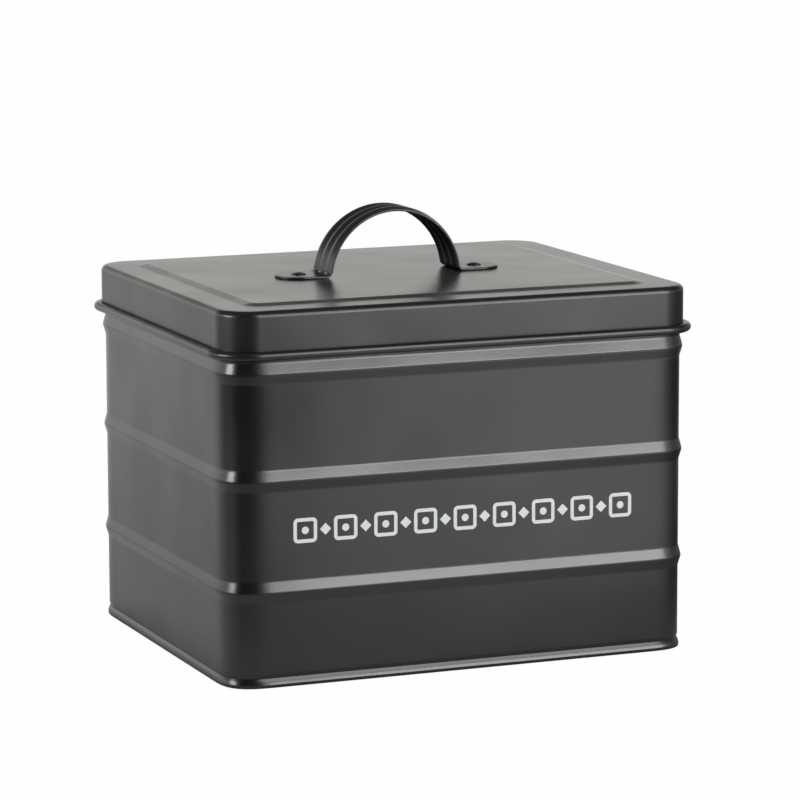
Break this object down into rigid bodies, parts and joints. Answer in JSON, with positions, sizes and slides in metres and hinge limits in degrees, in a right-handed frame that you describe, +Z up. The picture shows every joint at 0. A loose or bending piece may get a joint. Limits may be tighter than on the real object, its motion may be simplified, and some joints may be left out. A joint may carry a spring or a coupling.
{
  "type": "washing tablet canister",
  "caption": "Rectangular sheet steel storage canister with rounded corners, ribbed walls and a lift-off lid with a riveted strap handle, for laundry or dishwasher tablets.",
  "frame": {"origin": "centre of the footprint, on the surface that the canister stands on", "axes": "+Z up, +X along the wide front towards its right-hand end, -Y out of the front face"},
  "size_m": [0.2086, 0.1746, 0.1796],
  "materials": {
    "wall_paint": "satin charcoal powder coat",
    "lid_paint": "satin charcoal powder coat",
    "handle_paint": "satin charcoal powder coat",
    "white_print": "matt screen print ink"
  },
  "bodies": {
    "canister": {"body_wall": "wall_paint", "base_panel": "wall_paint"},
    "lid": {"lid_shell": "lid_paint", "handle": "handle_paint", "rivets": "handle_paint"}
  },
  "joints": [
    {"name": "lid_lift", "type": "slide", "parent": "canister", "child": "lid", "axis": [0, 0, 1], "range_m": [0, 0.1]}
  ]
}
